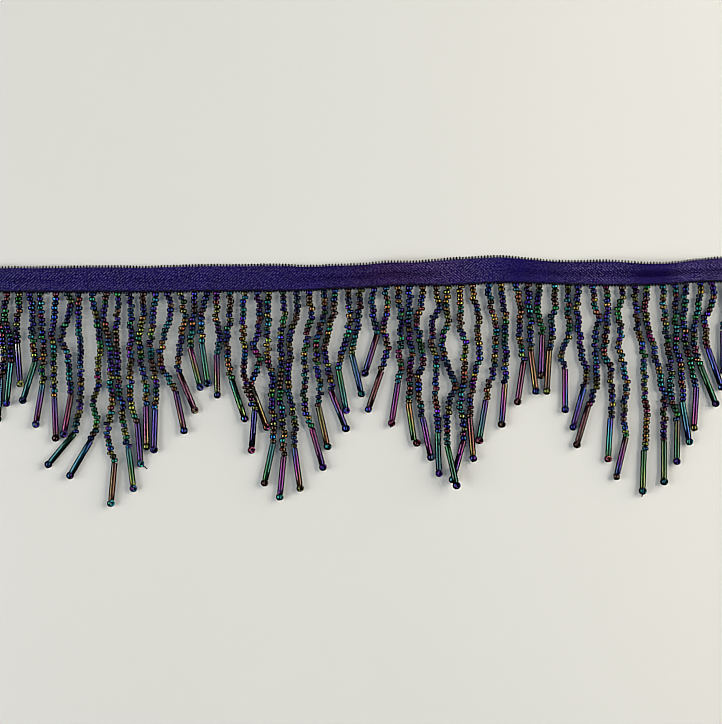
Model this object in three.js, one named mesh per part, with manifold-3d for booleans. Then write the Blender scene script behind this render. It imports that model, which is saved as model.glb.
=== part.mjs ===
// Beaded fringe trim: a narrow satin ribbon with a row of hanging strands, laid flat on a table.
// Millimetres. X runs along the ribbon, -Y is down the strands, +Z is up from the table.
// The origin is on the underside of the ribbon, half way along its sewn edge.
import * as THREE from "three";
import { mergeVertices } from "three/addons/utils/BufferGeometryUtils.js";
import Module from "manifold-3d";

const wasm = await Module();
wasm.setup();

// Ribbon
const halfLength = 134;
const ribbonWidth = 10.2;
const clothThickness = 1;
const stationStep = 6;

// The strip that holds the roots runs along the ribbon's sewn edge, a little apart from the ribbon
const stripWidth = 1;
const stripGap = 0.3;
const sewnMargin = 3;

// Strands
const rootDepth = 0.5;
const levelStep = 8;
const beadHalf = 1;
const sectionStep = 4.6;
const bugleLength = 13.4;

// The end of a strand past its last seed bead: distance along, half width, height of its underside
const tail = [
  { along: 0, half: 1, base: 0 },
  { along: 0.5, half: 0.6, base: 0.4 },
  { along: 0.6, half: 0.95, base: 0 },
  { along: bugleLength, half: 0.95, base: 0 },
  { along: bugleLength + 0.4, half: 0.6, base: 0.4 },
  { along: bugleLength + 0.8, half: 1.15, base: 0 },
  { along: bugleLength + 1.9, half: 1.1, base: 0 },
];

// How the ribbon lies: its sewn edge and its free edge seen from above, and how far the free edge stands up
const ribbonLie = [
  { x: -134, sewn: -3.3, free: 6, lift: 1.4 },
  { x: -110, sewn: -3.4, free: 6.1, lift: 0.8 },
  { x: -90, sewn: -3.4, free: 6.4, lift: 0.5 },
  { x: -80, sewn: -3.4, free: 6.15, lift: 0.6 },
  { x: -70, sewn: -3.35, free: 6.4, lift: 0.5 },
  { x: -60, sewn: -3.2, free: 6.75, lift: 0.4 },
  { x: -40, sewn: -3.1, free: 6.9, lift: 0.3 },
  { x: -30, sewn: -3.05, free: 7, lift: 0.3 },
  { x: -20, sewn: -2.9, free: 6.5, lift: 0.5 },
  { x: -10, sewn: -2.3, free: 6.8, lift: 0.9 },
  { x: 0, sewn: -2, free: 7.1, lift: 1.5 },
  { x: 10, sewn: -1.2, free: 7.95, lift: 2.4 },
  { x: 20, sewn: -0.95, free: 7.95, lift: 2.2 },
  { x: 30, sewn: -1.05, free: 9, lift: 0.6 },
  { x: 40, sewn: -0.5, free: 9.6, lift: 0.3 },
  { x: 50, sewn: -0.1, free: 10, lift: 0.3 },
  { x: 60, sewn: -0.2, free: 9.1, lift: 0.4 },
  { x: 70, sewn: -0.5, free: 8.2, lift: 0.6 },
  { x: 80, sewn: -0.85, free: 8.2, lift: 1.0 },
  { x: 90, sewn: -0.95, free: 8.3, lift: 1.8 },
  { x: 100, sewn: -0.9, free: 7.45, lift: 3.0 },
  { x: 110, sewn: -0.6, free: 7.55, lift: 2.8 },
  { x: 120, sewn: 0.2, free: 8.8, lift: 0.8 },
  { x: 134, sewn: 0.4, free: 9.9, lift: 0.3 },
];

// One row for each strand: where its root is along the ribbon, how far its seed beads hang below the sewn edge,
// how far the bugle's foot leans sideways, and how far the strand strays from its root at each level, the last
// where the seed beads end. kinks are [drop, stray] at sharp bends, and over is [drop, height] where it climbs.
const strands = [
  { root: -131, drop: 30.4, lean: -0.8, stray: [0.5, 3, 3.3, 2.2] },
  { root: -126.5, drop: 24.8, lean: -1.4, stray: [-0.5, 1.2, 1.4] },
  { root: -121.9, drop: 17.9, lean: 1, stray: [-0.5, -0.9] },
  { root: -117.9, drop: 24.3, lean: -4, stray: [0.4, 0.6, 1.5] },
  { root: -114.1, drop: 32.4, lean: -2.2, stray: [-0.2, 0.5, 0.5, 0.4] },
  { root: -109.1, drop: 37.1, lean: 0.5, stray: [-0.3, -1.2, -0.7, -0.4, -0.4] },
  { root: -104.9, drop: 35.9, lean: -2.4, stray: [0.5, -2.1, 0.5, 1.4], kinks: [[4.5, 1.4]] },
  { root: -100.4, drop: 49.9, lean: -8.6, stray: [-0.4, 0, 0.5, 0.1, 0.2, -1.9] },
  { root: -95.9, drop: 52.5, lean: -6.8, stray: [1.1, 2.7, 2.3, 2, 0.5, -0.6], kinks: [[47, 1.6]] },
  { root: -90.9, drop: 60.5, lean: -1.2, stray: [-0.8, 0.8, 1.5, 1.6, 2, 0.4, 2.9], kinks: [[55, 1.3]] },
  { root: -86.8, drop: 55.2, lean: 1.7, stray: [-0.2, -0.6, -0.1, 0.2, 1.4, 2.5, 3.7] },
  { root: -82.5, drop: 46.3, lean: 1.1, stray: [0.4, 0.2, 0.2, 0.4, 0.7, 2.6] },
  { root: -77.9, drop: 40.2, lean: 0.3, stray: [0, -1.3, -0.7, 0.8, 1] },
  { root: -73.4, drop: 41.3, lean: -0.4, stray: [-0.7, -1.5, -1.6, 0.3, -0.1] },
  { root: -68.7, drop: 34.9, lean: 2.8, stray: [0.5, -1.7, -3, 2.5] },
  { root: -64.4, drop: 28.4, lean: 5.2, stray: [1.4, 0.3, -0.9, -0.6] },
  { root: -59.5, drop: 19.6, lean: 3.3, stray: [-0.4, -1.5] },
  { root: -54.8, drop: 18, lean: 2, stray: [-2.1, -2.1] },
  { root: -51.2, drop: 22, lean: 0.3, stray: [-0.6, 0.6, -0.4] },
  { root: -46.5, drop: 31.2, lean: 4.3, stray: [-0.2, -1.4, -1.1, 0.3] },
  {
    root: -41.6, drop: 41.8, lean: -1.2, stray: [-0.5, -0.4, 0.1, 0.4, 3.8],
    over: [[22, 0], [30, 2.35], [43, 2.35], [56, 0]],
  },
  { root: -37.4, drop: 34.5, lean: 4.7, stray: [1.4, 0.1, 1.3, -1.4], kinks: [[19, -0.9], [31, -1.3]] },
  { root: -33.1, drop: 53.8, lean: -2.8, stray: [-0.2, -0.2, 0, 1.6, 1.2, 2.3, 1.7] },
  { root: -28.3, drop: 58.6, lean: -1.3, stray: [1.1, -0.6, -0.3, -0.5, -0.3, 0.5, 0.7] },
  { root: -23.1, drop: 55.6, lean: 1.9, stray: [0, -2.1, -2.2, -2.8, -1.8, -0.7, -0.7] },
  { root: -18.4, drop: 48.7, lean: 3.7, stray: [0.6, -0.9, -1.6, -1.5, -1.9, 0.8] },
  { root: -13.1, drop: 41.3, lean: 3, stray: [0, -2.2, -2.9, -1.5, -2.1] },
  { root: -9.2, drop: 35.8, lean: 5, stray: [-0.5, -3, -3.4, -1.6], kinks: [[32, -1.4]] },
  { root: -4.7, drop: 28.6, lean: 2.5, stray: [0.6, 0, -2.3, -3.3] },
  { root: -0.2, drop: 23, lean: 3.2, stray: [-0.4, -1.6, -3.1] },
  { root: 4.5, drop: 16.5, lean: -4, stray: [-0.5, 1.3] },
  { root: 8.8, drop: 29.6, lean: -4.3, stray: [0.4, -0.6, 0.1, -1.5], kinks: [[20.5, 0.8]] },
  { root: 13.4, drop: 34.3, lean: -2.1, stray: [0.5, 1, 0.4, -0.2], kinks: [[29, 1.1]] },
  { root: 17.4, drop: 41.6, lean: 2, stray: [-0.1, -0.3, 0.7, 0.1, -0.5] },
  {
    root: 21.8, drop: 46.7, lean: 2.7, stray: [-0.5, -1.2, -0.1, -1.5, -0.9, 0.2],
    kinks: [[12.5, -2], [28, 0]],
  },
  {
    root: 26.5, drop: 52.1, lean: 0.5, stray: [1.4, -0.9, 0, 0.5, 0.3, 0.8],
    kinks: [[11.8, -1.1], [20, -1.4]],
  },
  {
    root: 31, drop: 56.6, lean: 3, stray: [-0.4, -1, -1.4, 1.6, 1, -0.3, -0.3],
    kinks: [[12.5, 0.4], [19.5, -2.2], [36.8, 2.6]],
    over: [[44, 0], [56.6, 1.8], [72, 3.2]],
  },
  {
    root: 35.4, drop: 55.2, lean: -3.7, stray: [0, 0.3, 1.6, 1.4, 0.4, 1, 1.3],
    kinks: [[20.5, 1.9], [44, 0.1]],
  },
  { root: 40, drop: 47.2, lean: 1.1, stray: [1.5, 1.8, 2.3, 0.9, -0.9, -1.1], kinks: [[4, 0.1]] },
  { root: 45.4, drop: 41.2, lean: -2.2, stray: [1.1, 2.7, 2.2, 1.7, -0.8], kinks: [[36, 0]] },
  { root: 49.9, drop: 35.6, lean: -1.1, stray: [1, 1.6, 1.8, 1.5], kinks: [[11, 1.9]] },
  { root: 55, drop: 27.6, lean: -2, stray: [1.9, 1.4, 3.1] },
  { root: 59.4, drop: 23.7, lean: 1.7, stray: [0.5, 1.2, 1.2] },
  { root: 63.8, drop: 17.8, lean: -0.5, stray: [-1.1, 1], kinks: [[12.8, 0.4]] },
  { root: 68.8, drop: 23.4, lean: -0.8, stray: [0.7, -0.2, -1.6], kinks: [[11, -0.5]] },
  { root: 73.8, drop: 29.7, lean: 0, stray: [0.2, 0.6, -2.2, -0.9], kinks: [[19, 0], [26.5, -2.3]] },
  { root: 77.8, drop: 36.3, lean: -3.6, stray: [-0.7, 0, 1.1, 2.8, 1.8] },
  { root: 82.6, drop: 42.6, lean: -3.8, stray: [0.8, 1.2, 1.3, 1.8, -1.4], kinks: [[12, 2.4], [38, 0.6]] },
  {
    root: 87.4, drop: 47, lean: -0.8, stray: [0.5, 0.1, -0.5, 1.6, 2.6, 1.7],
    kinks: [[25.5, -0.6], [28.5, 1.8]],
  },
  {
    root: 93, drop: 53.7, lean: -3.1, stray: [-1.1, -0.2, -0.3, 1.4, 1, 1, 1.6],
    kinks: [[4.5, 0.3], [21.5, -1], [36, 1.9]],
  },
  { root: 97.5, drop: 58.5, lean: -0.4, stray: [0.9, 1.3, 3.4, 3.8, 4, 4.6, 3.5], kinks: [[54, 4.3]] },
  { root: 102.5, drop: 55.4, lean: 0, stray: [-1.1, 0.4, 2.4, 4.2, 5.8, 5.7, 5.7] },
  { root: 107.8, drop: 48.5, lean: -0.2, stray: [0.4, 1.1, 2.1, 3, 3, 5.2], kinks: [[44.5, 4.6]] },
  { root: 112.2, drop: 41.8, lean: 2.3, stray: [0, 0.2, 0.8, 2.3, 2.5], kinks: [[4, 0.4]] },
  { root: 115.9, drop: 37, lean: -0.8, stray: [-0.4, -0.4, 0.8, 3.9] },
  { root: 121.2, drop: 29.5, lean: 5, stray: [-0.5, -2.4, -1.7, 0] },
  { root: 125.4, drop: 23.4, lean: 4.4, stray: [0, -2.6, -1.5], kinks: [[5, 0.6], [12, -2.5]] },
  { root: 130.2, drop: 17, lean: 0.2, stray: [0.3, -0.9] },
];

const materials = {
  satin: new THREE.MeshStandardMaterial({ color: 0x241d45, roughness: 0.45, metalness: 0.1 }),
  beads: new THREE.MeshStandardMaterial({ color: 0x1d3350, roughness: 0.15, metalness: 0.6 }),
};

// The value of a column of the ribbon table at x, on a smooth curve through its rows
function lieAt(column, x) {
  const last = ribbonLie.length - 1;
  let i = 0;
  while (i < last - 1 && x > ribbonLie[i + 1].x) i += 1;
  const [before, from, to, after] = [i - 1, i, i + 1, i + 2].map((k) => ribbonLie[Math.min(Math.max(k, 0), last)]);
  const span = to.x - from.x;
  const t = Math.min(Math.max((x - from.x) / span, 0), 1);
  const slopeFrom = ((to[column] - before[column]) / (to.x - before.x)) * span;
  const slopeTo = ((after[column] - from[column]) / (after.x - from.x)) * span;
  const rise = to[column] - from[column];
  return from[column] + slopeFrom * t + (3 * rise - 2 * slopeFrom - slopeTo) * t ** 2
    + (slopeFrom + slopeTo - 2 * rise) * t ** 3;
}

// A straight line through [place, value] pairs
function between(pairs, place) {
  if (place <= pairs[0][0]) return pairs[0][1];
  for (let i = 1; i < pairs.length; i += 1) {
    const [start, low] = pairs[i - 1];
    const [end, high] = pairs[i];
    if (place <= end) return low + ((high - low) * (place - start)) / (end - start);
  }
  return pairs[pairs.length - 1][1];
}

// A closed body through rings that all have the same number of points
function loft(rings) {
  const count = rings[0].length;
  const positions = rings.flat().flatMap((point) => point.toArray());
  const faces = [];
  for (let r = 0; r < rings.length - 1; r += 1) {
    for (let k = 0; k < count; k += 1) {
      const a = r * count + k;
      const b = r * count + ((k + 1) % count);
      faces.push(a, b, b + count, a, b + count, a + count);
    }
  }
  const lastRing = (rings.length - 1) * count;
  // The rings go bottom first, then back along the top, so each cap is a row of quads between the two
  for (let k = 0; k < count / 2 - 1; k += 1) {
    const back = count - 1 - k;
    faces.push(k, back, k + 1, back, back - 1, k + 1);
    faces.push(lastRing + k, lastRing + k + 1, lastRing + back);
    faces.push(lastRing + back, lastRing + k + 1, lastRing + back - 1);
  }
  const geometry = new THREE.BufferGeometry();
  geometry.setAttribute("position", new THREE.Float32BufferAttribute(positions, 3));
  geometry.setIndex(faces);
  return geometry;
}

function stations() {
  const count = Math.round((2 * halfLength) / stationStep);
  return Array.from({ length: count + 1 }, (_, i) => -halfLength + (2 * halfLength * i) / count);
}

// The underside of the ribbon at one station: flat over the sewn margin, then a low swell up to the free edge
function ribbonUnderside(x) {
  const swellPoints = 7;
  const start = lieAt("sewn", x) + stripWidth + stripGap;
  const margin = lieAt("sewn", x) + sewnMargin;
  const reach = lieAt("free", x) - margin;
  const lift = lieAt("lift", x);
  const chord = Math.hypot(reach, lift);
  const spare = Math.max(ribbonWidth - sewnMargin - chord, 0);
  // A cosine swell of this height takes up the spare cloth
  const swell = Math.sqrt(0.405 * chord * spare);
  const line = [new THREE.Vector3(x, start, 0)];
  for (let i = 0; i <= swellPoints; i += 1) {
    const t = i / swellPoints;
    const eased = t * t * (3 - 2 * t);
    const height = lift * eased + (swell * (1 - Math.cos(2 * Math.PI * t))) / 2;
    line.push(new THREE.Vector3(x, margin + reach * t, height));
  }
  return line;
}

// The top of a sheet: its underside moved out by the cloth's thickness
function sheetTop(underside) {
  return underside.map((point, i) => {
    const from = underside[Math.max(i - 1, 0)];
    const to = underside[Math.min(i + 1, underside.length - 1)];
    const along = new THREE.Vector3().subVectors(to, from).normalize();
    return new THREE.Vector3(point.x, point.y - along.z * clothThickness, point.z + along.y * clothThickness);
  });
}

function makeRibbon() {
  return loft(stations().map((x) => {
    const underside = ribbonUnderside(x);
    return [...underside, ...sheetTop(underside).reverse()];
  }));
}

function makeStrip() {
  return loft(stations().map((x) => {
    const low = lieAt("sewn", x);
    const high = low + stripWidth;
    return [
      new THREE.Vector3(x, low, 0), new THREE.Vector3(x, high, 0),
      new THREE.Vector3(x, high, clothThickness), new THREE.Vector3(x, low, clothThickness),
    ];
  }));
}

// The line that a strand's seed beads follow on the table
function strandLine({ root, drop, stray, kinks = [] }) {
  const stops = stray.map((aside, i) => [i === stray.length - 1 ? drop : levelStep * (i + 1), aside]);
  const sorted = [[-rootDepth, 0], ...stops, ...kinks].sort((a, b) => a[0] - b[0]);
  const points = sorted.map(([down, aside]) => {
    const x = root + aside;
    return new THREE.Vector3(x, lieAt("sewn", x) - down, 0);
  });
  return new THREE.CatmullRomCurve3(points, false, "centripetal");
}

// One four-sided ring across a strand
function strandRing(centre, heading, half, base) {
  const side = new THREE.Vector3(-heading.y, heading.x, 0).multiplyScalar(half);
  const low = new THREE.Vector3(centre.x, centre.y, base);
  const high = new THREE.Vector3(centre.x, centre.y, base + 2 * half);
  return [low.clone().sub(side), low.clone().add(side), high.clone().add(side), high.clone().sub(side)];
}

function makeStrand(row) {
  const line = strandLine(row);
  const climbs = row.over ?? [[0, 0]];
  const steps = Math.max(Math.round(line.getLength() / sectionStep), 3);
  const rings = [];
  for (let i = 0; i < steps; i += 1) {
    const centre = line.getPointAt(i / steps);
    const down = lieAt("sewn", centre.x) - centre.y;
    rings.push(strandRing(centre, line.getTangentAt(i / steps), beadHalf, between(climbs, down)));
  }
  const end = line.getPointAt(1);
  const fall = Math.sqrt(bugleLength ** 2 - row.lean ** 2);
  const heading = new THREE.Vector3(row.lean, -fall, 0).normalize();
  tail.forEach(({ along, half, base }) => {
    const centre = end.clone().addScaledVector(heading, along);
    const climb = between(climbs, row.drop - heading.y * along);
    rings.push(strandRing(centre, heading, half, base + climb));
  });
  return loft(rings);
}

function toSolid(geometry) {
  geometry.deleteAttribute("normal");
  geometry.deleteAttribute("uv");
  const merged = mergeVertices(geometry);
  return new wasm.Manifold(new wasm.Mesh({
    numProp: 3,
    vertProperties: new Float32Array(merged.attributes.position.array),
    triVerts: new Uint32Array(merged.index.array),
  }));
}

function toGeometry(solid) {
  const mesh = solid.getMesh();
  const geometry = new THREE.BufferGeometry();
  geometry.setAttribute("position", new THREE.BufferAttribute(mesh.vertProperties, 3));
  geometry.setIndex(new THREE.BufferAttribute(mesh.triVerts, 1));
  return geometry;
}

// The roots are fused into the strip, and the strands stand apart below it
function makeFringe() {
  return toGeometry(strands.reduce((body, row) => body.add(toSolid(makeStrand(row))), toSolid(makeStrip())));
}

const trim = new THREE.Group();
const parts = [
  { name: "ribbon", geometry: makeRibbon(), material: materials.satin },
  { name: "fringe", geometry: makeFringe(), material: materials.beads },
];
parts.forEach(({ name, geometry, material }) => {
  geometry.computeVertexNormals();
  const mesh = new THREE.Mesh(geometry, material);
  mesh.name = name;
  trim.add(mesh);
});

export default trim;
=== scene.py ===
"""Beaded fringe trim: a dark satin ribbon with a scalloped fringe of iridescent glass beads, laid flat.

X runs along the ribbon, -Y is down the strands and +Z is up from the table, in metres.
"""

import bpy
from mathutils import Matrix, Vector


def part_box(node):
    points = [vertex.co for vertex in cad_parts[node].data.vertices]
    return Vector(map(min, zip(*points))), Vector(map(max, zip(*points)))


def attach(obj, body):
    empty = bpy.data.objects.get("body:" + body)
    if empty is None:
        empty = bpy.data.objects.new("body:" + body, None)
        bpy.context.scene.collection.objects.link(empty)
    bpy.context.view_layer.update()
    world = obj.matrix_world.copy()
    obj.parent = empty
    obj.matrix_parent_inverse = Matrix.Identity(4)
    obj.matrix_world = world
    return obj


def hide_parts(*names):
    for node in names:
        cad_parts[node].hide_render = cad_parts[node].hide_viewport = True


bl_info = {
    "name": "Beaded fringe trim",
    "version": (1, 0, 0),
    "blender": (4, 5, 0),
    "location": "3D View > Sidebar > Fringe",
    "description": "Builds a satin ribbon with strands of seed beads, bugle beads and end beads",
    "category": "Add Mesh",
}

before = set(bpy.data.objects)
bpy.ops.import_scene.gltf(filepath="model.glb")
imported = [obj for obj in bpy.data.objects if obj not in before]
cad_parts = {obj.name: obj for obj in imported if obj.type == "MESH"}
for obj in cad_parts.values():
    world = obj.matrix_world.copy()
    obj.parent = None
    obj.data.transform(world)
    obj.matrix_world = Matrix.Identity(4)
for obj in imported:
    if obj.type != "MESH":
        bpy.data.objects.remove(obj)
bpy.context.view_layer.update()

import colorsys
import math
import random
from collections import namedtuple

import bpy
import numpy as np
from mathutils import Quaternion, Vector

MM = 0.001

# Ribbon
CLOTH_WIDTH = 10.2 * MM
SEWN_MARGIN = 3 * MM
RIBBON_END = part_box("ribbon")[1].x
GRID_STEP = 0.8 * MM
ROWS_ACROSS = 20
PICOT_PITCH = 1.11 * MM
PICOT_REACH = 0.5 * MM
PICOT_FLATNESS = 0.55
PICOT_SLIMNESS = 2.4
FREE_TUCK = 0.4
EDGE_BAND = 0.9 * MM
WEAVE_DEPTH = 0.05 * MM
PUCKER = 0.22 * MM
PUCKER_REACH = 1.6 * MM
PUCKER_RISE = 2 * MM
WAVE_HEIGHT = 0.1 * MM
WAVE_LENGTHS = (3.1 * MM, 7.3 * MM)

# A swell's height squared is this share of its chord times its spare cloth
SWELL_SHARE = 0.405

# Stage
TABLE_WIDTH = 12.0
TABLE_GAP = 0.03 * MM
SHARP_LEVEL = 1 * MM
PANE_NEARNESS = 0.8
PANE_HEIGHT = 0.5
PANE_SIZE = (0.9, 0.1)
SCREEN_GAMMA = 2.2

# Strands
ROOT_DEPTH = 0.5 * MM
FIRST_BEAD = 0.15 * MM
EDGE_RISE = 0.55 * MM
EDGE_SLOPE = (1.0 * MM, 3.2 * MM)
LEVEL_STEP = 8 * MM
LINE_STEP = 0.25 * MM
BUGLE_START = 0.05 * MM
BUGLE_FOOT = 13.4 * MM
END_BEAD_PLACE = 14.5 * MM
SCALLOP_STARTS = (0, 3, 17, 31, 44, 58)

# Thread and the stitches at each root
THREAD_SIDES = 6
THREAD_STEP = 1.2 * MM
THREAD_TURNS = 1400.0
PICOT_TURNS = 900.0
STITCH_SPOTS = (-0.7, -0.25, 0.25, 0.7)
STITCH_STRAY = 0.1 * MM
STITCH_REACH = (0.7 * MM, 1.3 * MM)
STITCH_LEAN = 0.2 * MM

# How uneven the beads are, beside the model's size and the strand's line
SEED_LENGTHS = (0.82, 1.2)
SEED_WIDTHS = (0.9, 1.05)
SEED_ROOM = 0.95
SEED_STAGGER = 0.42 * MM
SEED_TILT = 0.2
SEED_RISE = 0.08
EASING_ROUNDS = 6
END_LENGTH = 1.2
END_LENGTHS = (0.95, 1.15)
END_WIDTHS = (0.96, 1.05)
END_TILT = 0.5
END_RISES = (0.3, 1.8)

# Corners of each bead's wall section and steps round its hole
SEED_SIDES = (6, 12)
END_SIDES = (8, 18)
BUGLE_SIDES = 20

# The coats: how bright they are, how much they mirror and what share of their colour is left at each bead's
# ends about the hole, which are darkened as painted shade where beads meet
SEED_GLOW = (0.1, 0.72)
BUGLE_GLOW = (0.15, 0.34)
END_GLOW = (0.35, 0.8)
BEAD_GLOSS = 1.25
BUGLE_GLOSS = 1.35
# Painted shade: the share of a bead's colour that is left at its ends, darkened as if in shade where beads
# meet
SEED_SHADED_END_SHARE = 0.04
END_BEAD_SHADED_END_SHARE = 0.8
HALF_BEAD = 0.75 * MM
SAME_TINT = 0.25
GREY_DEPTH = 0.3

# The ribbon as it lies, in millimetres: x, its sewn edge and its free edge seen from above, and how far the
# free edge stands up from the table
RIBBON_LIE = (
    (-134, -3.3, 6, 1.4),
    (-110, -3.4, 6.1, 0.8),
    (-90, -3.4, 6.4, 0.5),
    (-80, -3.4, 6.15, 0.6),
    (-70, -3.35, 6.4, 0.5),
    (-60, -3.2, 6.75, 0.4),
    (-40, -3.1, 6.9, 0.3),
    (-30, -3.05, 7, 0.3),
    (-20, -2.9, 6.5, 0.5),
    (-10, -2.3, 6.8, 0.9),
    (0, -2, 7.1, 1.5),
    (10, -1.2, 7.95, 2.4),
    (20, -0.95, 7.95, 2.2),
    (30, -1.05, 9, 0.6),
    (40, -0.5, 9.6, 0.3),
    (50, -0.1, 10, 0.3),
    (60, -0.2, 9.1, 0.4),
    (70, -0.5, 8.2, 0.6),
    (80, -0.85, 8.2, 1.0),
    (90, -0.95, 8.3, 1.8),
    (100, -0.9, 7.45, 3.0),
    (110, -0.6, 7.55, 2.8),
    (120, 0.2, 8.8, 0.8),
    (134, 0.4, 9.9, 0.3),
)

# Soft troughs in the ribbon, in millimetres: x and y of one end and of the other, how deep and how wide
CREASES = (
    (17, 3.4, 24, 2.6, 0.3, 0.5),
    (-4, 0.5, 4, 1.6, 0.16, 0.8),
    (96, 2.2, 106, 1.5, 0.22, 0.9),
    (-128, 1.5, -116, 0.6, 0.15, 0.9),
    (84, 3, 92, 4.2, 0.12, 0.8),
)

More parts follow.
